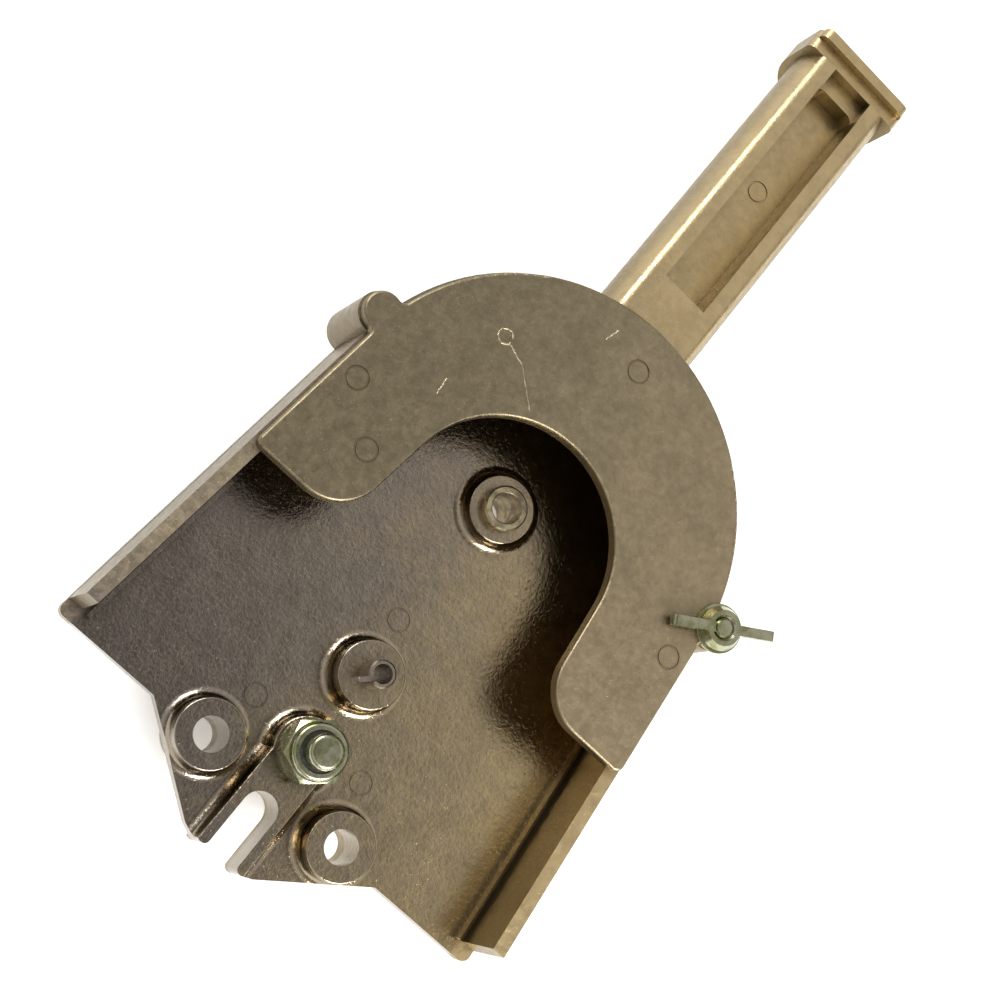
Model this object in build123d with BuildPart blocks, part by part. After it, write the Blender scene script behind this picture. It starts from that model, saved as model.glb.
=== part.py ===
from build123d import *
import os
from math import cos, radians, sin, sqrt, tan

# Cast hand tool body: a shallow round-topped case on a round grip.
# Frame: origin on the hub axis at the back end of the hub, +Z out of the open front,
# +Y towards the grip, +X to the right seen from the front. Millimetres and degrees.

os.makedirs("parts", exist_ok=True)

# ---- Case: floor plate and rim wall ----
case_radius = 66.4            # outer face of the rim at the back of the floor
side_spread = 5.2             # how far each straight side leans away from the centre line
floor_back = 6.5
floor_front = 11.0
floor_low_end = -105.5
wall_top = 35.0
wall_thickness = 4.0
wall_draft = 1.2
wall_low_end = -101.0
case_corner_rounding = 2.5
rib_gap = 1.8                 # channel between the rim and the low rib that follows it
rib_thickness = 1.3
rib_height = 3.0

# ---- Nose with its open slot ----
nose_half_width = 41.3
nose_low_end = -127.6
tip_width = 2.3               # beside the slot, at the nose's low end
tip_shoulder_width = 7.1
tip_shoulder_low_end = -125.6
tip_rounding = 1.6
nose_root_rounding = 4.0
slot_closed_end = -106.0

# ---- Bosses on the floor ----
boss_foot = 3.2               # rounded foot of every boss and of the slot pad
boss_rim_rounding = 0.5
hub_boss_radius = 10.2
hub_boss_top = 16.1
pin_place = (0.0, -63.2)
pin_boss_radius = 9.9
pin_boss_top = 20.4
bolt_spacing = 48.0
bolt_row = -104.6
bolt_boss_radius = 10.0
bolt_boss_top = 20.2
bolt_hole_radius = 5.0
pad_half_width = 8.3
pad_end_radius = 9.8
pad_top = 18.0
pad_back = 3.5
clamp_place = (0.0, -90.6)

# ---- Lugs beside the rim ----
lug_inset = 0.1               # lug axis inside the rim's foot
lug_height = 10.5
lug_foot_radius = 6.8
lug_top_radius = 6.3

# ---- Grip and pommel ----
grip_radius = 17.4
grip_axis_height = 12.0
grip_flat = 23.4              # height of the flattened front
grip_edge_rounding = 3.0
grip_root_rounding = 8.0      # hollow corner where the grip leaves the rim
grip_heel = 20.0              # length of the sloped heel under the floor
recess_half_width = 8.2
recess_low_end = 87.5
recess_high_end = 176.3
recess_floor = 12.0
recess_draft = 1.2
recess_rounding = 3.0
ledge_floor = 18.6
pommel_low_end = 182.0
pommel_thickness = 7.5
pommel_radius = 19.5
pommel_axis_height = 8.0
pommel_front = 22.8
pommel_corner_rounding = 3.0
bar_height = 2.8              # raised bar along the pommel's outer edge
bar_thickness = 3.5
bar_half_width = 18.5

# ---- Cover plate ----
cover_inset = 1.4             # cover edge inside the rim's foot
cover_thickness = 4.0
cover_low_end = -41.5
cover_corner_rounding = 2.5
cover_edge_rounding = 0.9
ear_radius = 5.7
ear_root_rounding = 2.0
window_radius = 34.0
window_centre = -13.7
window_spread = 6.8
tongue_rounding = 15.0

# ---- Hub bush and spring pin ----
bush_radius = 6.65
bush_bore_radius = 4.45
bush_top = 19.6
spring_pin_radius = 4.0
spring_pin_bore_radius = 2.8
spring_pin_top = 30.3
spring_pin_slit = 2.0
spring_pin_slit_direction = 243.0

# ---- M10 clamp bolt, washers and lock nut ----
m10_radius = 5.0
m10_hole_clearance = 0.3
m10_head_height = 6.4
m10_tip = 38.0
m10_tip_rounding = 1.4
flat_washer_thickness = 1.6
lock_washer_thickness = 2.2
lock_washer_split = 1.6
lock_nut_height = 10.0
lock_nut_hex_height = 7.6
insert_width = 0.95
insert_height = 2.4
insert_recess = 0.4
lock_washer_split_direction = 150.0
lock_nut_turn = 40.0

# ---- M6 cover screw, washer, wing nut and dowel ----
m6_radius = 2.9
m6_hole_clearance = 0.3
m6_across_flats = 10.0
m6_head_height = 4.0
running_clearance = 0.05
wing_washer_radius = 7.2
wing_washer_thickness = 1.2
wing_hub_radius = 6.5
wing_hub_top_radius = 5.2
wing_hub_height = 3.6
wing_span = 33.0
wing_thickness = 3.0
wing_lift = 0.3               # underside of the wings above the hub's seat
wing_height = 3.4
wing_turn = 32.0
wing_rounding = 1.3
m6_tip_chamfer = 0.6
wing_bore_countersink = 0.9
dowel_radius = 2.5
dowel_depth = 8.0
dowel_reach = 2.5             # how far the dowel enters the cover

# ---- Ejector pin marks ----
mark_radius = 3.65
mark_groove = 0.7
mark_depth = 0.3
cover_marks = [(-59.7, -9.2), (59.5, -6.1), (0.2, 50.9), (-45.0, -22.4)]
floor_marks = [(-2.1, -44.2), (19.1, -86.3), (-20.0, -87.3)]
recess_mark = (0.0, 136.9)

# ---- Sizes that follow from the ones above ----
m10_across_flats = 3.4 * m10_radius
flat_washer_radius = 1.8 * m10_radius
lock_washer_radius = 1.81 * m10_radius
lock_nut_collar_radius = 1.6 * m10_radius
insert_radius = m10_radius + insert_width
slot_half_width = m10_radius + m10_hole_clearance   # the shank passes
tip_half_width = slot_half_width + tip_width
tip_shoulder = (slot_half_width + tip_shoulder_width, tip_shoulder_low_end)
wall_foot_radius = case_radius
wall_top_radius = case_radius - (wall_top - floor_back) * tan(radians(wall_draft))
cavity_radius = wall_top_radius - wall_thickness
lug_place = (case_radius - lug_inset, lug_height)
cover_radius = case_radius - cover_inset
rib_radius = cavity_radius - rib_gap
cover_top = wall_top + cover_thickness
screw_place = lug_place
dowel_place = (-lug_place[0], lug_place[1])
flat_washer_top = pad_top + flat_washer_thickness
lock_washer_top = flat_washer_top + lock_washer_thickness
wing_seat = cover_top + wing_washer_thickness
screw_tip = wing_seat + wing_hub_height
well_beyond = 200.0


def arched_outline(radius, spread, low_end):
    """Round top whose two straight sides leave the arc at a tangent and spread down to low_end."""
    lean = radians(spread)
    touch = (radius * cos(lean), radius * sin(lean))
    foot = ((radius - low_end * sin(lean)) / cos(lean), low_end)
    with BuildSketch(Plane.XY) as outline:
        with BuildLine():
            ThreePointArc(touch, (0, radius), (-touch[0], touch[1]))
            Polyline((-touch[0], touch[1]), (-foot[0], low_end), foot, touch)
        make_face()
    return outline.sketch


def plate_outline():
    """Floor plate seen from the front: the case, the nose and the nose's open slot."""
    nose_edge = [(nose_half_width, floor_low_end), tip_shoulder, (tip_half_width, nose_low_end)]
    slot_centre = slot_closed_end - slot_half_width
    with BuildSketch(Plane.XY) as outline:
        add(arched_outline(case_radius, side_spread, floor_low_end))
        with BuildLine():
            Polyline(nose_edge + [(-x, y) for x, y in reversed(nose_edge)], close=True)
        make_face()
        with Locations((0, slot_centre)):
            Circle(slot_half_width, mode=Mode.SUBTRACT)
        with Locations((0, slot_centre)):
            Rectangle(2 * slot_half_width, 40, align=(Align.CENTER, Align.MAX), mode=Mode.SUBTRACT)
        for side in (0, -1):
            low_corners = outline.vertices().filter_by_position(Axis.Y, floor_low_end - 0.1, floor_low_end + 0.1)
            fillet(low_corners.sort_by(Axis.X)[side], case_corner_rounding)
        fillet(outline.vertices().filter_by_position(Axis.Y, nose_low_end - 1, nose_low_end + 1), tip_rounding)
    return outline.sketch


def footed_boss(outline, top):
    """Boss on a patch of floor, with a rounded foot, kept inside the floor plate's edge."""
    with BuildPart() as boss:
        with BuildSketch(Plane.XY.offset(floor_back)):
            add(outline)
            offset(amount=2 * boss_foot)
        extrude(amount=floor_front - floor_back)
        with BuildSketch(Plane.XY.offset(floor_front)):
            add(outline)
        extrude(amount=top - floor_front)
        patch_top = boss.faces().filter_by_position(Axis.Z, floor_front - 0.01, floor_front + 0.01)[0]
        fillet(patch_top.inner_wires()[0].edges(), boss_foot)
        fillet(boss.faces().sort_by(Axis.Z)[-1].edges(), boss_rim_rounding)
        with BuildSketch(Plane.XY.offset(floor_back)):
            add(plate_outline())
        extrude(amount=top, mode=Mode.INTERSECT)
    return boss.part


def round_outline(place, radius):
    """Circle standing at a place on the floor."""
    with BuildSketch(Plane.XY) as outline:
        with Locations(place):
            Circle(radius)
    return outline.sketch


def pad_outline():
    """Slot pad: a round end over the clamp bolt and parallel sides down to the nose."""
    with BuildSketch(Plane.XY) as outline:
        with Locations(clamp_place):
            Circle(pad_end_radius)
            Rectangle(2 * pad_half_width, 60, align=(Align.CENTER, Align.MAX))
    return outline.sketch


def mark_outline(places):
    """Round grooves that ejector pins leave in a face."""
    with BuildSketch(Plane.XY) as grooves:
        with Locations(*places):
            Circle(mark_radius)
        with Locations(*places):
            Circle(mark_radius - mark_groove, mode=Mode.SUBTRACT)
    return grooves.sketch


def chamfered_hexagon(across_flats, low, high):
    """Hexagonal prism whose corners are turned off at the upper end."""
    corner_radius = across_flats / sqrt(3)
    face_radius = across_flats / 2 - 0.2
    fall = (corner_radius - face_radius) * tan(radians(30))
    with BuildPart() as prism:
        with BuildSketch(Plane.XY.offset(low)):
            RegularPolygon(across_flats / 2, 6, major_radius=False)
        extrude(amount=high - low)
        with BuildSketch(Plane.XZ):
            with BuildLine():
                Polyline((0, low), (corner_radius, low), (corner_radius, high - fall),
                         (face_radius, high), (0, high), close=True)
            make_face()
        revolve(axis=Axis.Z, mode=Mode.INTERSECT)
    return prism.part


def make_grip():
    """Round grip with a flat, recessed front, and a D-shaped pommel with a raised outer bar."""
    grip_start = cavity_radius - grip_heel
    with BuildPart() as grip:
        with BuildSketch(Plane.XZ.offset(-grip_start)) as section:
            with Locations((0, grip_axis_height)):
                Circle(grip_radius)
            with Locations((0, grip_flat)):
                Rectangle(4 * grip_radius, 2 * grip_radius, align=(Align.CENTER, Align.MIN),
                          mode=Mode.SUBTRACT)
            fillet(section.vertices().filter_by_position(Axis.Y, grip_flat - 0.1, grip_flat + 0.1),
                   grip_edge_rounding)
        extrude(amount=-(pommel_low_end - grip_start))
        # sloped heel where the grip's round back runs out under the floor
        with BuildSketch(Plane.YZ.offset(-2 * grip_radius)):
            with BuildLine():
                Polyline((grip_start - 1, floor_back), (grip_start, floor_back),
                         (case_radius, grip_axis_height - grip_radius),
                         (case_radius, -2 * grip_radius), (grip_start - 1, -2 * grip_radius), close=True)
            make_face()
        extrude(amount=4 * grip_radius, mode=Mode.SUBTRACT)
        # pommel
        with BuildSketch(Plane.XZ.offset(-pommel_low_end)) as section:
            with Locations((0, pommel_axis_height)):
                Circle(pommel_radius)
                Rectangle(2 * pommel_radius, pommel_front - pommel_axis_height,
                          align=(Align.CENTER, Align.MIN))
            with Locations((0, pommel_front)):
                Rectangle(2 * pommel_radius, pommel_radius, align=(Align.CENTER, Align.MIN),
                          mode=Mode.SUBTRACT)
            fillet(section.vertices().filter_by_position(Axis.Y, pommel_front - 0.1, pommel_front + 0.1),
                   pommel_corner_rounding)
        extrude(amount=-pommel_thickness)
        bar_low = pommel_low_end + pommel_thickness - bar_thickness
        with BuildSketch(Plane.XZ.offset(-bar_low)) as section:
            with Locations((0, pommel_front + bar_height)):
                Rectangle(2 * bar_half_width, 2 * bar_height + pommel_corner_rounding,
                          align=(Align.CENTER, Align.MAX))
            fillet(section.vertices().filter_by_position(Axis.Y, pommel_front + 1, pommel_front + 9),
                   pommel_corner_rounding - 0.5)
        extrude(amount=-bar_thickness)
    return grip.part


def cut_recess():
    """Mould core of the grip's recess: a deep pocket with a shallow ledge at its upper end."""
    depth = grip_flat - recess_floor
    with BuildPart() as core:
        with BuildSketch(Plane.XY.offset(grip_flat)) as mouth:
            with Locations((0, recess_low_end)):
                Rectangle(2 * recess_half_width, recess_high_end - recess_low_end,
                          align=(Align.CENTER, Align.MIN))
            fillet(mouth.vertices().group_by(Axis.Y)[-1], recess_rounding)
        extrude(amount=-depth, taper=recess_draft)
        with BuildSketch(Plane.XY.offset(ledge_floor)):
            with Locations((0, recess_high_end - 2 * recess_rounding)):
                Rectangle(2 * recess_half_width - 0.4, pommel_low_end - recess_high_end + 2 * recess_rounding,
                          align=(Align.CENTER, Align.MIN))
        extrude(amount=grip_flat - ledge_floor)
    return core.part


# ---- Housing: one casting ----
bolt_places = [(-bolt_spacing / 2, bolt_row), (bolt_spacing / 2, bolt_row)]
lug_places = [dowel_place, screw_place]

with BuildPart() as housing:
    # rim block, grip and lugs, hollowed from the front
    with BuildSketch(Plane.XY.offset(floor_back)):
        add(arched_outline(wall_foot_radius, side_spread, wall_low_end))
    extrude(amount=wall_top - floor_back, taper=wall_draft)
    add(make_grip())
    grip_roots = [edge for edge in housing.edges()
                  if edge.geom_type == GeomType.BSPLINE and edge.center().Z > floor_back]
    fillet(grip_roots, grip_root_rounding)
    for place in lug_places:
        with Locations((place[0], place[1], (floor_back + wall_top) / 2)):
            Cone(lug_foot_radius, lug_top_radius, wall_top - floor_back)
    with BuildSketch(Plane.XY.offset(floor_front)):
        add(arched_outline(cavity_radius, side_spread, -well_beyond))
    extrude(amount=well_beyond, mode=Mode.SUBTRACT)
    # floor plate with the nose
    with BuildSketch(Plane.XY.offset(floor_back)):
        add(plate_outline())
    extrude(amount=floor_front - floor_back)
    # low rib that follows the rim
    with BuildSketch(Plane.XY.offset(floor_front)) as rib:
        add(arched_outline(rib_radius, side_spread, wall_low_end - 0.6))
        add(arched_outline(rib_radius - rib_thickness, side_spread, wall_low_end - 10), mode=Mode.SUBTRACT)
    extrude(amount=rib_height)
    # bosses and slot pad
    add(footed_boss(round_outline((0, 0), hub_boss_radius), hub_boss_top))
    add(footed_boss(round_outline(pin_place, pin_boss_radius), pin_boss_top))
    for place in bolt_places:
        add(footed_boss(round_outline(place, bolt_boss_radius), bolt_boss_top))
    add(footed_boss(pad_outline(), pad_top))
    # tubes and pad behind the floor
    with BuildSketch(Plane.XY):
        Circle(hub_boss_radius)
        with Locations(pin_place, *bolt_places):
            Circle(pin_boss_radius)
    extrude(amount=floor_back)
    with BuildSketch(Plane.XY.offset(pad_back)):
        add(pad_outline())
        add(plate_outline(), mode=Mode.INTERSECT)
    extrude(amount=floor_back - pad_back)
    # bores
    with BuildSketch(Plane.XY.offset(-1)):
        Circle(bush_radius)
        with Locations(pin_place):
            Circle(spring_pin_radius)
        with Locations(*bolt_places):
            Circle(bolt_hole_radius)
        with Locations(clamp_place):
            Circle(m10_radius + m10_hole_clearance)
        with Locations(screw_place):
            Circle(m6_radius + m6_hole_clearance)
    extrude(amount=well_beyond, mode=Mode.SUBTRACT)
    with BuildSketch(Plane.XY.offset(wall_top)):
        with Locations(dowel_place):
            Circle(dowel_radius)
    extrude(amount=-dowel_depth, mode=Mode.SUBTRACT)
    add(cut_recess(), mode=Mode.SUBTRACT)
    # ejector pin marks
    with BuildSketch(Plane.XY.offset(floor_front)):
        add(mark_outline(floor_marks))
    extrude(amount=-mark_depth, mode=Mode.SUBTRACT)
    with BuildSketch(Plane.XY.offset(recess_floor)):
        add(mark_outline([recess_mark]))
    extrude(amount=-mark_depth, mode=Mode.SUBTRACT)

housing.part.label = "housing"
export_step(housing.part, "parts/housing.step")

# ---- Cover plate: a crescent on top of the rim ----
with BuildPart() as cover_plate:
    with BuildSketch(Plane.XY.offset(wall_top)) as crescent:
        add(arched_outline(cover_radius, side_spread, cover_low_end))
        with Locations(*lug_places):
            Circle(ear_radius)
        with Locations((0, window_centre)):
            add(arched_outline(window_radius, window_spread, cover_low_end - window_centre - 5),
                mode=Mode.SUBTRACT)
        low_corners = crescent.vertices().filter_by_position(Axis.Y, cover_low_end - 0.1, cover_low_end + 0.1)
        fillet(low_corners.sort_by(Axis.X)[1:3], tongue_rounding)
        low_corners = crescent.vertices().filter_by_position(Axis.Y, cover_low_end - 0.1, cover_low_end + 0.1)
        fillet([low_corners.sort_by(Axis.X)[0], low_corners.sort_by(Axis.X)[-1]], cover_corner_rounding)
        for place in lug_places:
            ear_roots = [corner for corner in crescent.vertices()
                         if abs((corner.center() - Vector(*place)).length - ear_radius) < 0.01]
            fillet(ear_roots, ear_root_rounding)
    extrude(amount=cover_thickness)
    fillet(cover_plate.faces().sort_by(Axis.Z)[-1].outer_wire().edges(), cover_edge_rounding)
    with BuildSketch(Plane.XY.offset(cover_top)):
        with Locations(screw_place):
            Circle(m6_radius + m6_hole_clearance)
    extrude(amount=-cover_thickness, mode=Mode.SUBTRACT)
    with BuildSketch(Plane.XY.offset(wall_top)):
        with Locations(dowel_place):
            Circle(dowel_radius)
    extrude(amount=dowel_reach, mode=Mode.SUBTRACT)
    with BuildSketch(Plane.XY.offset(cover_top)):
        add(mark_outline(cover_marks))
    extrude(amount=-mark_depth, mode=Mode.SUBTRACT)

cover_plate.part.label = "cover_plate"
export_step(cover_plate.part, "parts/cover_plate.step")

# ---- Dowel that sets the cover's free side on the left lug ----
with BuildPart() as cover_dowel:
    with BuildSketch(Plane.XY.offset(wall_top - dowel_depth)):
        with Locations(dowel_place):
            Circle(dowel_radius)
    extrude(amount=dowel_depth + dowel_reach)

cover_dowel.part.label = "cover_dowel"
export_step(cover_dowel.part, "parts/cover_dowel.step")

# ---- Hub bush ----
with BuildPart() as hub_bush:
    with BuildSketch(Plane.XY):
        Circle(bush_radius)
        Circle(bush_bore_radius, mode=Mode.SUBTRACT)
    extrude(amount=bush_top)
    rims = hub_bush.edges().filter_by(GeomType.CIRCLE).group_by(Axis.Z)[-1]
    chamfer(rims.sort_by(SortBy.RADIUS)[-1], 0.5)
    chamfer(hub_bush.edges().filter_by(GeomType.CIRCLE).group_by(Axis.Z)[-1].sort_by(SortBy.RADIUS)[0], 0.3)

hub_bush.part.label = "hub_bush"
export_step(hub_bush.part, "parts/hub_bush.step")

# ---- Slotted spring pin ----
with BuildPart() as spring_pin:
    with BuildSketch(Plane.XY):
        with Locations(Location((pin_place[0], pin_place[1], 0), (0, 0, spring_pin_slit_direction))):
            Circle(spring_pin_radius)
            Circle(spring_pin_bore_radius, mode=Mode.SUBTRACT)
            Rectangle(2 * spring_pin_radius, spring_pin_slit, align=(Align.MIN, Align.CENTER),
                      mode=Mode.SUBTRACT)
    extrude(amount=spring_pin_top)
    chamfer(spring_pin.faces().sort_by(Axis.Z)[-1].edges().filter_by(GeomType.CIRCLE)
            .sort_by(SortBy.RADIUS)[-1], 0.5)

spring_pin.part.label = "spring_pin"
export_step(spring_pin.part, "parts/spring_pin.step")

# ---- M10 clamp bolt with its washers and lock nut ----
clamp_location = Location((clamp_place[0], clamp_place[1], 0))

with BuildPart() as clamp_bolt:
    add(chamfered_hexagon(m10_across_flats, -pad_back, m10_head_height - pad_back).mirror(Plane.XY))
    with BuildSketch(Plane.XY.offset(pad_back)):
        Circle(m10_radius)
    extrude(amount=m10_tip - pad_back)
    fillet(clamp_bolt.faces().sort_by(Axis.Z)[-1].edges(), m10_tip_rounding)

clamp_bolt.part = clamp_bolt.part.moved(clamp_location)
clamp_bolt.part.label = "clamp_bolt"
export_step(clamp_bolt.part, "parts/clamp_bolt.step")

with BuildPart() as clamp_flat_washer:
    with BuildSketch(Plane.XY.offset(pad_top)):
        with Locations(clamp_place):
            Circle(flat_washer_radius)
            Circle(m10_radius, mode=Mode.SUBTRACT)
    extrude(amount=flat_washer_thickness)

clamp_flat_washer.part.label = "clamp_flat_washer"
export_step(clamp_flat_washer.part, "parts/clamp_flat_washer.step")

with BuildPart() as clamp_lock_washer:
    with BuildSketch(Plane.XY.offset(flat_washer_top)):
        with Locations(clamp_place):
            Circle(lock_washer_radius)
            Circle(m10_radius, mode=Mode.SUBTRACT)
    extrude(amount=lock_washer_thickness)
    with BuildSketch(Plane.XY.offset(flat_washer_top)):
        with Locations(Location((clamp_place[0], clamp_place[1], 0), (0, 0, lock_washer_split_direction))):
            Rectangle(2 * lock_washer_radius, lock_washer_split, align=(Align.MIN, Align.CENTER))
    extrude(amount=lock_washer_thickness, mode=Mode.SUBTRACT)

clamp_lock_washer.part.label = "clamp_lock_washer"
export_step(clamp_lock_washer.part, "parts/clamp_lock_washer.step")

lock_nut_top = lock_washer_top + lock_nut_height
insert_low = lock_nut_top - insert_height

with BuildPart() as clamp_nut:
    add(chamfered_hexagon(m10_across_flats, lock_washer_top, lock_washer_top + lock_nut_hex_height))
    with BuildSketch(Plane.XY.offset(lock_washer_top)):
        Circle(lock_nut_collar_radius)
    extrude(amount=lock_nut_height)
    fillet(clamp_nut.faces().sort_by(Axis.Z)[-1].edges(), 1.2)
    with BuildSketch(Plane.XY.offset(lock_washer_top)):
        Circle(m10_radius)
    extrude(amount=lock_nut_height, mode=Mode.SUBTRACT)
    with BuildSketch(Plane.XY.offset(insert_low)):
        Circle(insert_radius)
    extrude(amount=insert_height, mode=Mode.SUBTRACT)

clamp_nut.part = clamp_nut.part.rotate(Axis.Z, lock_nut_turn).moved(clamp_location)
clamp_nut.part.label = "clamp_nut"
export_step(clamp_nut.part, "parts/clamp_nut.step")

with BuildPart() as clamp_nut_insert:
    with BuildSketch(Plane.XY.offset(insert_low)):
        with Locations(clamp_place):
            Circle(insert_radius)
            Circle(m10_radius, mode=Mode.SUBTRACT)
    extrude(amount=insert_height - insert_recess)

clamp_nut_insert.part.label = "clamp_nut_insert"
export_step(clamp_nut_insert.part, "parts/clamp_nut_insert.step")

# ---- M6 cover screw, from behind the right lug ----
screw_location = Location((screw_place[0], screw_place[1], 0))

with BuildPart() as cover_screw:
    add(chamfered_hexagon(m6_across_flats, -floor_back, m6_head_height - floor_back).mirror(Plane.XY))
    with BuildSketch(Plane.XY.offset(floor_back)):
        Circle(m6_radius)
    extrude(amount=screw_tip - floor_back)
    chamfer(cover_screw.faces().sort_by(Axis.Z)[-1].edges(), m6_tip_chamfer)

cover_screw.part = cover_screw.part.moved(screw_location)
cover_screw.part.label = "cover_screw"
export_step(cover_screw.part, "parts/cover_screw.step")

with BuildPart() as wing_washer:
    with BuildSketch(Plane.XY.offset(cover_top)):
        with Locations(screw_place):
            Circle(wing_washer_radius)
            Circle(m6_radius + m6_hole_clearance, mode=Mode.SUBTRACT)
    extrude(amount=wing_washer_thickness)

wing_washer.part.label = "wing_washer"
export_step(wing_washer.part, "parts/wing_washer.step")

# ---- Wing nut: coned hub with two low rounded wings ----
with BuildPart() as wing_nut:
    with BuildSketch(Plane.XZ):
        with BuildLine():
            Polyline((0, wing_seat), (wing_hub_radius, wing_seat),
                     (wing_hub_radius, wing_seat + 1.0),
                     (wing_hub_top_radius, wing_seat + wing_hub_height), (0, wing_seat + wing_hub_height),
                     close=True)
        make_face()
    revolve(axis=Axis.Z)
    with BuildSketch(Plane.XZ.offset(-wing_thickness / 2)) as wings:
        with Locations((0, wing_seat + wing_lift)):
            Rectangle(wing_span, wing_height, align=(Align.CENTER, Align.MIN))
        fillet(wings.vertices(), wing_rounding)
    extrude(amount=wing_thickness)
    with BuildSketch(Plane.XY.offset(wing_seat - 1)):
        Circle(m6_radius + running_clearance)
    extrude(amount=2 * wing_height + wing_hub_height, mode=Mode.SUBTRACT)
    with Locations((0, 0, wing_seat + wing_hub_height - wing_bore_countersink / 2)):
        Cone(m6_radius + running_clearance, m6_radius + wing_bore_countersink,
             wing_bore_countersink, mode=Mode.SUBTRACT)

wing_nut.part = wing_nut.part.rotate(Axis.Z, wing_turn).moved(screw_location)
wing_nut.part.label = "wing_nut"
export_step(wing_nut.part, "parts/wing_nut.step")
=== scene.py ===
import math
import random

import bmesh
import bpy
from mathutils import Matrix, Vector


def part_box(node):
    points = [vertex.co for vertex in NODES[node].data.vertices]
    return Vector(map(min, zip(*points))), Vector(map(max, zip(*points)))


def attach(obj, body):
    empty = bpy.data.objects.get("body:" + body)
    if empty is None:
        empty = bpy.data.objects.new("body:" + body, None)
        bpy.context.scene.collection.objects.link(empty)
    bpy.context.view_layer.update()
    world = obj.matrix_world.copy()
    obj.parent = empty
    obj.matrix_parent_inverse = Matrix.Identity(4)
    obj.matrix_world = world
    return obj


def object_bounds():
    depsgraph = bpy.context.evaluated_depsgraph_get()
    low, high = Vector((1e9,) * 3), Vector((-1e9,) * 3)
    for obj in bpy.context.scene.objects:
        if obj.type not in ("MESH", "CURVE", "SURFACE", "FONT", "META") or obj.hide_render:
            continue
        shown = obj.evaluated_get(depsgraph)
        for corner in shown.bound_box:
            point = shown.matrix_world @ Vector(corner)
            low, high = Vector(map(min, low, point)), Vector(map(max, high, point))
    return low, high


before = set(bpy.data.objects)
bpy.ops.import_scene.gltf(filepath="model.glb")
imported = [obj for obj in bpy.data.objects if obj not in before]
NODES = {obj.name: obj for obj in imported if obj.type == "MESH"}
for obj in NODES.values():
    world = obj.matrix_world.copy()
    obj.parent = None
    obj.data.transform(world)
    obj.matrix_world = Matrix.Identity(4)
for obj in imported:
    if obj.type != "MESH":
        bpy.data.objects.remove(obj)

CAD_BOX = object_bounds()
SCENE = bpy.context.scene
MM = 0.001

# Camera, in metres and degrees
CAMERA_PLACE = (-0.11676, -0.17916, 0.53117)
CAMERA_AIM = (0.00124, 0.00723, 0.0)
CAMERA_ROLL = 73.68
LENS = 69.13                  # millimetres, as the sensor
SENSOR = 36.0
CLIP_START = 0.01

# Floor, sky and lamps, in metres, watts and brightness
FLOOR_HALF_WIDTH = 6.0
FLOOR_GAP = 0.0005            # floor below the object's lowest point
FLOOR_WHITE = (0.93, 0.93, 0.92)
FLOOR_ROUGHNESS = 0.9
FLOOR_SPECULAR = 0.1
FLOOR_GLOW = 0.30             # keeps the ground and the open holes pale
SKY_TINT = (1.0, 0.985, 0.95)
SKY_LEVELS = ((0.0, 0.30), (0.30, 0.34), (0.62, 0.62), (0.80, 0.80), (0.91, 0.66),
              (0.955, 0.42), (0.985, 0.22), (1.0, 0.17))     # steepness, brightness
LAMPS = (("lamp_key", (0.9, -0.75, 0.85), (0.7, 0.5), 22),   # name, place, size, power
         ("lamp_fill", (-0.95, 0.55, 0.8), (0.7, 0.7), 14))

# Low ridges cast in the cover's front, in millimetres
COVER_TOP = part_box("cover_plate")[1].z / MM
FLAW_SINK = 0.01              # how far a ridge's foot is let into the cover
FLAW_HEIGHT = 0.09
FLAW_STEPS = 14
FLAW_RING = (-35.9, 30.2)
FLAW_RING_RADIUS = 2.3
FLAW_RING_WIDTH = 0.5
FLAW_RING_HEIGHT = 0.10
FLAW_RING_ARC = (20, 350)     # degrees
FLAW_RING_STEPS = 22
FLAW_LINES = [("flaw_run_upper", (-33.4, 29.4), (-26.9, 27.2), 0.5),
              ("flaw_run_lower", (-26.9, 27.2), (-16.8, 18.7), 0.35),
              ("flaw_run_side", (-40.9, 8.9), (-40.2, 3.2), 0.45),
              ("flaw_run_top", (-13.2, 51.0), (-11.7, 56.3), 0.4)]

# Where the case's glossy skin begins and ends, in metres: across, in height, under the floor
SIDE_LEAN = 0.091             # how far the rim's straight sides lean, as a ratio
GLOSS_REACH = (0.0600, 0.0625)
GLOSS_TOP = (0.022, 0.030)
GLOSS_BOTTOM = (0.005, 0.008)
# reach of the painted shade in corners
CORNER_SHADE_REACH = 0.006

# Noises of the metals: scale, detail, roughness and, for one, distortion
ZONE_NOISE = (45, 3, 0.55)
MOTTLE_NOISE = (520, 4, 0.65)
STAIN_NOISE = (150, 6, 0.68)
GLINT_NOISE = (1900, 2, 0.5)
GRAIN_NOISE = (420, 3, 0.6)
WAVE_NOISE = (170, 2, 0.5)
SKIN_NOISE = (850, 4, 0.6, 0.4)
PIT_NOISE = (1300, 2, 0.5)
TINT_NOISE = (240, 3, 0.6)
MARK_NOISE = (900, 4, 0.65)
NYLON_NOISE = (700, 2, 0.5)

# Bumps: strength, height in metres
WAVE_BUMP = (0.22, 0.4 * MM)
SKIN_BUMP = (0.8, 0.13 * MM)
PIT_BUMP = (0.5, 0.05 * MM)
MARK_BUMP = (0.12, 0.05 * MM)

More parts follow.
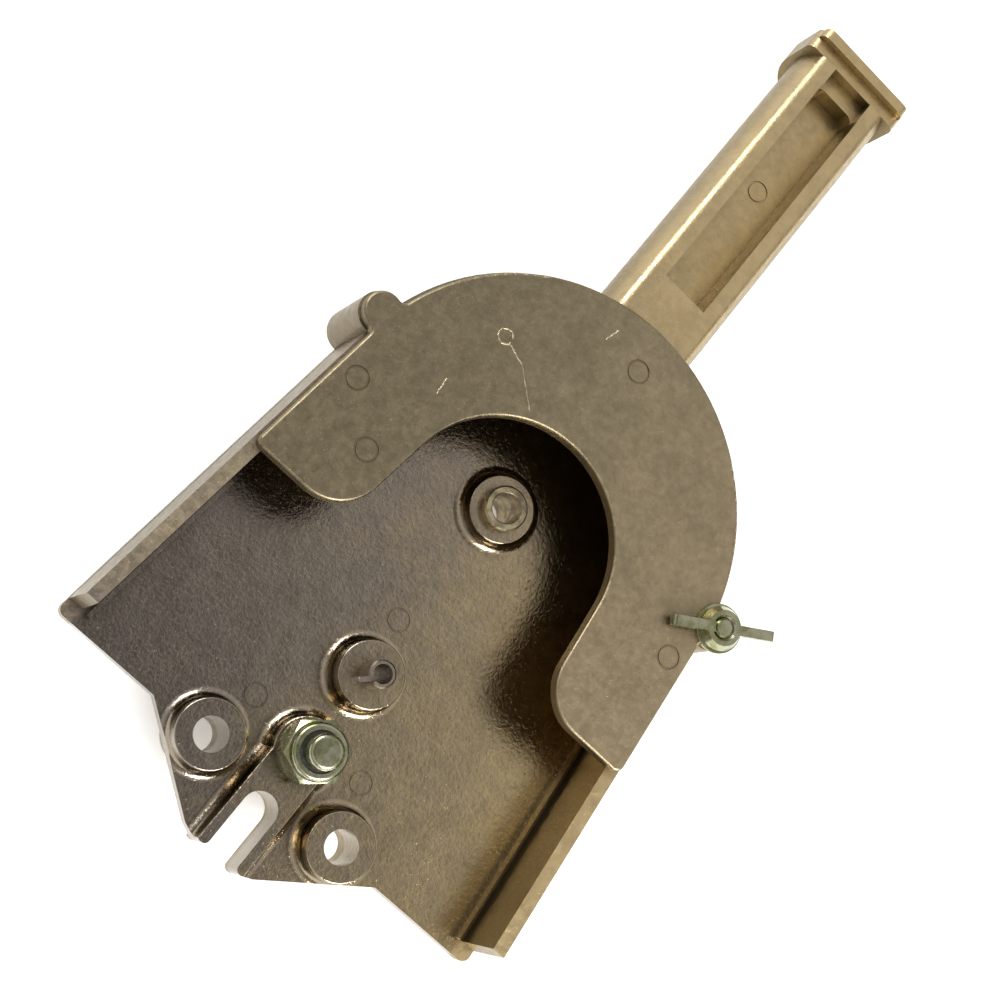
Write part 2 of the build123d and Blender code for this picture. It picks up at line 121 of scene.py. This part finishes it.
# Linear colours
COVER_WARM = (0.43, 0.34, 0.215)
COVER_COOL = (0.235, 0.195, 0.125)
CASE_WARM = (0.60, 0.46, 0.25)
CASE_COOL = (0.32, 0.275, 0.235)
# the next three: a stain colour that also paints shade into corners, painted shade on steep faces,
# painted glints
STAIN_AND_SHADE = (0.06, 0.045, 0.03)
SHADE = (0.17, 0.135, 0.07)
PAINTED_GLINT = (0.95, 0.90, 0.78)
ZINC = (0.42, 0.41, 0.29)
ZINC_GREEN = (0.24, 0.25, 0.12)
STEEL = (0.58, 0.49, 0.31)
DARK_STEEL = (0.34, 0.29, 0.22)
# painted highlight for the ridges on the cover
PAINTED_RIDGE_HIGHLIGHT = (0.66, 0.58, 0.42)
NYLON_DARK = (0.012, 0.014, 0.013)
NYLON_LIGHT = (0.035, 0.038, 0.03)


# ---- Small node helpers ----
class Nodes:
    """A node tree being built, with short ways to add a node and to link sockets."""

    def __init__(self, tree):
        self.tree = tree

    def add(self, kind, **values):
        node = self.tree.nodes.new(kind)
        for name, value in values.items():
            setattr(node, name, value)
        return node

    def link(self, source, target):
        self.tree.links.new(source, target)

    def feed(self, socket, value):
        if hasattr(value, "is_output"):
            self.link(value, socket)
        else:
            socket.default_value = value

    def math(self, operation, a, b=0.0, clamp=False):
        node = self.add("ShaderNodeMath", operation=operation, use_clamp=clamp)
        self.feed(node.inputs[0], a)
        self.feed(node.inputs[1], b)
        return node.outputs[0]

    def ramp(self, value, low, high, low_out=0.0, high_out=1.0):
        node = self.add("ShaderNodeMapRange", interpolation_type="SMOOTHSTEP")
        for socket, entry in zip(node.inputs, (value, low, high, low_out, high_out)):
            self.feed(socket, entry)
        return node.outputs[0]

    def noise(self, place, scale, detail=3.0, roughness=0.5, distortion=0.0):
        node = self.add("ShaderNodeTexNoise")
        self.link(place, node.inputs["Vector"])
        node.inputs["Scale"].default_value = scale
        node.inputs["Detail"].default_value = detail
        node.inputs["Roughness"].default_value = roughness
        node.inputs["Distortion"].default_value = distortion
        return node.outputs["Fac"]

    def mix(self, factor, a, b):
        node = self.add("ShaderNodeMix", data_type="RGBA")
        self.feed(node.inputs[0], factor)
        for socket, colour in ((node.inputs[6], a), (node.inputs[7], b)):
            self.feed(socket, colour if hasattr(colour, "is_output") else (*colour, 1.0))
        return node.outputs[2]

    def bump(self, height, strength, distance, normal=None):
        node = self.add("ShaderNodeBump")
        node.inputs["Strength"].default_value = strength
        node.inputs["Distance"].default_value = distance
        self.link(height, node.inputs["Height"])
        if normal is not None:
            self.link(normal, node.inputs["Normal"])
        return node.outputs["Normal"]


def new_material(name):
    material = bpy.data.materials.new(name)
    material.use_nodes = True
    shader = material.node_tree.nodes["Principled BSDF"]
    return material, Nodes(material.node_tree), shader


def inside_case(nodes, place):
    """One on the case's glossy inner skin, fading to zero at the rim and under the floor."""
    split = nodes.add("ShaderNodeSeparateXYZ")
    nodes.link(place, split.inputs[0])
    x, y, z = split.outputs
    upper = nodes.math("MAXIMUM", y, 0.0)
    aside = nodes.math("ADD", nodes.math("ABSOLUTE", x),
                       nodes.math("MULTIPLY", nodes.math("MINIMUM", y, 0.0), SIDE_LEAN))
    reach = nodes.math("SQRT", nodes.math("ADD", nodes.math("POWER", upper, 2.0),
                                          nodes.math("POWER", aside, 2.0)))
    inside = nodes.math("MULTIPLY", nodes.ramp(reach, *GLOSS_REACH, 1.0, 0.0),
                        nodes.ramp(z, *GLOSS_TOP, 1.0, 0.0))
    return nodes.math("MULTIPLY", inside, nodes.ramp(z, *GLOSS_BOTTOM)), x, y


def cast_metal(name, warm, cool, rough, wet, shift=0.0):
    """Gold-tinted die casting.

    Where wet is 1, the skin inside the case is glossy and cooler, with a fine orange peel; its
    darker, cooler colour is partly a painted dark reflection. The rest is duller and warmer.
    Steep faces get painted shade and corners are darkened with painted shade. A shift moves the
    change from the cool to the warm colour further to the right.
    """
    material, nodes, shader = new_material(name)
    place = nodes.add("ShaderNodeTexCoord").outputs["Object"]
    inside, x, y = inside_case(nodes, place)
    inside = nodes.math("MULTIPLY", inside, wet)
    outside = nodes.math("SUBTRACT", 1.0, inside)
    # colour: broad cool and warm zones, fine mottling, stains; the darkening towards the left and the
    # darker cool inside of the case are partly painted dark reflection
    across = nodes.math("ADD", nodes.math("MULTIPLY", x, 0.60), nodes.math("MULTIPLY", y, 0.08))
    zone = nodes.math("ADD", nodes.math("MULTIPLY", across, 9.0),
                      nodes.math("MULTIPLY", nodes.noise(place, *ZONE_NOISE), 0.55))
    zone = nodes.math("ADD", zone, nodes.math("MULTIPLY", outside, 0.35))
    zone = nodes.math("ADD", zone, nodes.math("MULTIPLY", nodes.noise(place, *MOTTLE_NOISE), 0.5))
    colour = nodes.mix(nodes.ramp(zone, 0.15 + shift, 1.05 + shift), cool, warm)
    stain = nodes.ramp(nodes.noise(place, *STAIN_NOISE), 0.32, 0.62, 0.16, 0.0)
    colour = nodes.mix(stain, colour, STAIN_AND_SHADE)
    # painted shade on steep faces
    upright = nodes.add("ShaderNodeSeparateXYZ")
    nodes.link(nodes.add("ShaderNodeNewGeometry").outputs["Normal"], upright.inputs[0])
    steep = nodes.ramp(nodes.math("ABSOLUTE", upright.outputs[2]), 0.25, 0.92, 0.74, 0.0)
    colour = nodes.mix(steep, colour, SHADE)
    # painted glints as bright flecks, then painted shade in the corners
    glint = nodes.ramp(nodes.noise(place, *GLINT_NOISE), 0.70, 0.78)
    colour = nodes.mix(nodes.math("MULTIPLY", glint, 0.35), colour, PAINTED_GLINT)
    # painted shade: corners found by ambient occlusion are darkened
    corner = nodes.add("ShaderNodeAmbientOcclusion", samples=4)
    corner.inputs["Distance"].default_value = CORNER_SHADE_REACH
    corner_shade = nodes.ramp(corner.outputs["AO"], 0.30, 0.90, 0.60, 0.0)
    nodes.link(nodes.mix(corner_shade, colour, STAIN_AND_SHADE), shader.inputs["Base Color"])
    shader.inputs["Metallic"].default_value = 1.0
    # finish
    grain = nodes.noise(place, *GRAIN_NOISE)
    dull = nodes.ramp(grain, 0.3, 0.7, rough - 0.06, rough + 0.08)
    gloss = nodes.ramp(grain, 0.3, 0.7, 0.10, 0.17)
    finish = nodes.math("ADD", nodes.math("MULTIPLY", gloss, inside),
                        nodes.math("MULTIPLY", dull, outside))
    nodes.link(finish, shader.inputs["Roughness"])
    # relief
    pits = nodes.ramp(nodes.noise(place, *PIT_NOISE), 0.60, 0.72, 1.0, 0.0)
    normal = nodes.bump(nodes.noise(place, *WAVE_NOISE), *WAVE_BUMP)
    normal = nodes.bump(nodes.noise(place, *SKIN_NOISE), *SKIN_BUMP, normal)
    normal = nodes.bump(pits, *PIT_BUMP, normal)
    nodes.link(normal, shader.inputs["Normal"])
    return material


def plated_steel(name, colour, tint, roughness):
    """Bright plated steel with faint tint patches and fine handling marks."""
    material, nodes, shader = new_material(name)
    coordinates = nodes.add("ShaderNodeTexCoord").outputs["Object"]
    patches = nodes.noise(coordinates, *TINT_NOISE)
    nodes.link(nodes.mix(nodes.ramp(patches, 0.35, 0.65), colour, tint), shader.inputs["Base Color"])
    shader.inputs["Metallic"].default_value = 1.0
    marks = nodes.noise(coordinates, *MARK_NOISE)
    nodes.link(nodes.ramp(marks, 0.3, 0.7, roughness - 0.05, roughness + 0.1),
               shader.inputs["Roughness"])
    nodes.link(nodes.bump(marks, *MARK_BUMP), shader.inputs["Normal"])
    return material


def nylon(name):
    """Near-black plastic with a faint mottle."""
    material, nodes, shader = new_material(name)
    coordinates = nodes.add("ShaderNodeTexCoord").outputs["Object"]
    mottle = nodes.noise(coordinates, *NYLON_NOISE)
    nodes.link(nodes.mix(mottle, NYLON_DARK, NYLON_LIGHT), shader.inputs["Base Color"])
    nodes.link(nodes.ramp(mottle, 0.3, 0.7, 0.35, 0.5), shader.inputs["Roughness"])
    return material


# ---- Stage: camera, floor, sky and lamps ----
def make_camera():
    data = bpy.data.cameras.new("camera")
    data.lens = LENS
    data.sensor_width = SENSOR
    data.clip_start = CLIP_START
    camera = bpy.data.objects.new("camera", data)
    SCENE.collection.objects.link(camera)
    look = Vector(CAMERA_AIM) - Vector(CAMERA_PLACE)
    turn = look.to_track_quat("-Z", "Y").to_matrix().to_4x4()
    camera.matrix_world = (Matrix.Translation(CAMERA_PLACE) @ turn
                           @ Matrix.Rotation(math.radians(CAMERA_ROLL), 4, "Z"))
    SCENE.camera = camera


def make_floor():
    material, _, shader = new_material("stage_floor")
    shader.inputs["Base Color"].default_value = (*FLOOR_WHITE, 1.0)
    shader.inputs["Roughness"].default_value = FLOOR_ROUGHNESS
    shader.inputs["Specular IOR Level"].default_value = FLOOR_SPECULAR
    shader.inputs["Emission Color"].default_value = (1.0, 1.0, 1.0, 1.0)
    shader.inputs["Emission Strength"].default_value = FLOOR_GLOW
    mesh = bpy.data.meshes.new("stage_floor")
    half = FLOOR_HALF_WIDTH
    low = CAD_BOX[0][2] - FLOOR_GAP
    mesh.from_pydata([(-half, -half, low), (half, -half, low), (half, half, low), (-half, half, low)],
                     [], [(0, 1, 2, 3)])
    mesh.materials.append(material)
    floor = bpy.data.objects.new("stage_floor", mesh)
    SCENE.collection.objects.link(floor)


def make_sky():
    """Soft room light: dim low down, brightest part of the way up and darker again overhead."""
    world = bpy.data.worlds.new("studio")
    world.use_nodes = True
    SCENE.world = world
    nodes = Nodes(world.node_tree)
    background = world.node_tree.nodes["Background"]
    direction = nodes.add("ShaderNodeTexCoord").outputs["Generated"]
    split = nodes.add("ShaderNodeSeparateXYZ")
    nodes.link(direction, split.inputs[0])
    ramp = nodes.add("ShaderNodeValToRGB")
    nodes.link(split.outputs["Z"], ramp.inputs["Fac"])
    elements = ramp.color_ramp.elements
    while len(elements) < len(SKY_LEVELS):
        elements.new(0.5)
    for element, (steepness, level) in zip(elements, SKY_LEVELS):
        element.position = steepness
        element.color = (*(level * tint for tint in SKY_TINT), 1.0)
    nodes.link(ramp.outputs["Color"], background.inputs["Color"])
    background.inputs["Strength"].default_value = 1.0


def make_lamp(name, place, size, power):
    """Rectangular lamp that points at the origin."""
    data = bpy.data.lights.new(name, "AREA")
    data.shape = "RECTANGLE"
    data.size, data.size_y = size
    data.energy = power
    lamp = bpy.data.objects.new(name, data)
    SCENE.collection.objects.link(lamp)
    lamp.location = place
    lamp.rotation_euler = (-Vector(place)).to_track_quat("-Z", "Y").to_euler()


def make_stage():
    make_camera()
    make_floor()
    make_sky()
    for lamp in LAMPS:
        make_lamp(*lamp)
    SCENE.view_settings.view_transform = "Standard"


# ---- Materials on the CAD nodes ----
def paint(node, material):
    mesh = NODES[node].data
    mesh.materials.clear()
    mesh.materials.append(material)


def paint_nodes():
    paint("housing", cast_metal("housing_cast", CASE_WARM, CASE_COOL, 0.36, 1.0))
    paint("cover_plate", cast_metal("cover_cast", COVER_WARM, COVER_COOL, 0.40, 0.0, 0.35))
    zinc = plated_steel("zinc_plate", ZINC, ZINC_GREEN, 0.22)
    for node in ("clamp_bolt", "clamp_flat_washer", "clamp_lock_washer", "clamp_nut",
                 "cover_screw", "wing_washer", "wing_nut"):
        paint(node, zinc)
    paint("hub_bush", plated_steel("bush_metal", STEEL, COVER_COOL, 0.28))
    spring = plated_steel("spring_metal", DARK_STEEL, CASE_COOL, 0.3)
    paint("spring_pin", spring)
    paint("cover_dowel", spring)
    paint("clamp_nut_insert", nylon("insert_nylon"))


# ---- Casting flaws on the cover ----
def low_ridge(name, points, width, height, material):
    """Low ridge with a rounded back along a line of points, wandering a little."""
    random.seed(name)
    mesh = bmesh.new()
    rings = []
    for index, point in enumerate(points):
        before = Vector(points[max(index - 1, 0)])
        after = Vector(points[min(index + 1, len(points) - 1)])
        side = (after - before).cross(Vector((0, 0, 1))).normalized()
        end = index in (0, len(points) - 1)
        half = width / 2 * random.uniform(0.6, 1.2) * (0.3 if end else 1.0)
        centre = Vector(point) + side * random.uniform(-0.3, 0.3) * width
        rise = Vector((0, 0, height * (0.2 if end else random.uniform(0.6, 1.0))))
        rings.append([mesh.verts.new(MM * corner) for corner in
                      (centre - side * half, centre - side * half * 0.4 + rise,
                       centre + side * half * 0.4 + rise, centre + side * half)])
    for one, two in zip(rings, rings[1:]):
        for low in range(3):
            mesh.faces.new((one[low], two[low], two[low + 1], one[low + 1]))
    data = bpy.data.meshes.new(name)
    bmesh.ops.recalc_face_normals(mesh, faces=mesh.faces)
    mesh.to_mesh(data)
    mesh.free()
    data.materials.append(material)
    ridge = bpy.data.objects.new(name, data)
    SCENE.collection.objects.link(ridge)
    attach(ridge, "case")


def between(start, end, height, count):
    """Points on a straight line at one height, in millimetres."""
    return [(start[0] + (end[0] - start[0]) * step / count,
             start[1] + (end[1] - start[1]) * step / count, height) for step in range(count + 1)]


def ring_points(place, radius, height, start, end, count):
    """Points on an arc at one height, in millimetres and degrees."""
    turns = [math.radians(start + (end - start) * step / count) for step in range(count + 1)]
    return [(place[0] + radius * math.cos(turn), place[1] + radius * math.sin(turn), height)
            for turn in turns]


def make_flaws():
    # the ridges get a lighter metal than the cover, a painted highlight along them
    ridge_highlight = plated_steel("painted_ridge_highlight", PAINTED_RIDGE_HIGHLIGHT, COVER_WARM, 0.4)
    foot = COVER_TOP - FLAW_SINK
    ring = ring_points(FLAW_RING, FLAW_RING_RADIUS, foot, *FLAW_RING_ARC, FLAW_RING_STEPS)
    low_ridge("flaw_ring", ring, FLAW_RING_WIDTH, FLAW_RING_HEIGHT, ridge_highlight)
    for name, start, end, width in FLAW_LINES:
        low_ridge(name, between(start, end, foot, FLAW_STEPS), width, FLAW_HEIGHT, ridge_highlight)


make_stage()
paint_nodes()
make_flaws()
